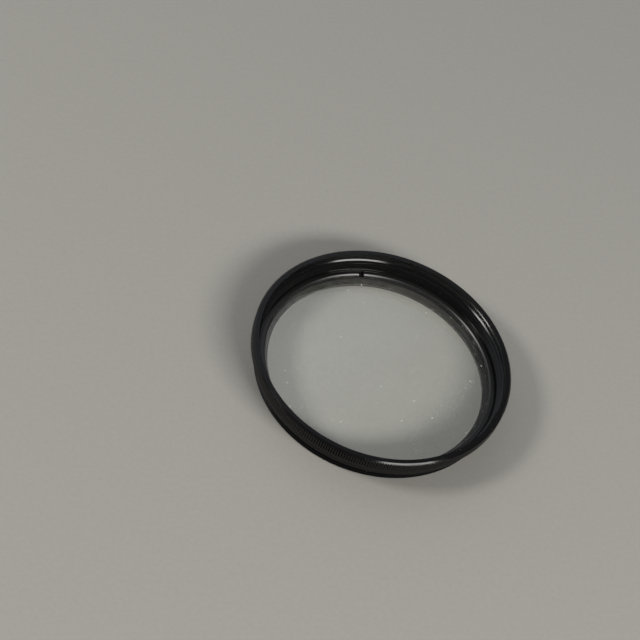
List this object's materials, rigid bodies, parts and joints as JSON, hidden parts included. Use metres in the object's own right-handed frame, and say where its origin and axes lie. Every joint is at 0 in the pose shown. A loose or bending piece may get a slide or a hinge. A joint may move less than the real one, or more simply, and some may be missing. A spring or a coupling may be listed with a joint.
{
  "type": "soft focus filter",
  "caption": "Screw-in soft focus filter for a camera lens: a black knurled rim with a lens thread behind and in front, holding a glass disc under a slotted retaining ring.",
  "frame": {"origin": "centre of the rear end of the male thread, which the filter lies on", "axes": "+Z along the optical axis, towards the front; +Y through one spanner slot of the retaining ring"},
  "size_m": [0.055, 0.055, 0.0078],
  "materials": {
    "filter_rim": "satin",
    "soft_focus_glass": "gloss",
    "retaining_ring": "satin"
  },
  "bodies": {
    "root": {"filter_rim": "filter_rim", "soft_focus_glass": "soft_focus_glass", "retaining_ring": "retaining_ring"}
  },
  "joints": []
}
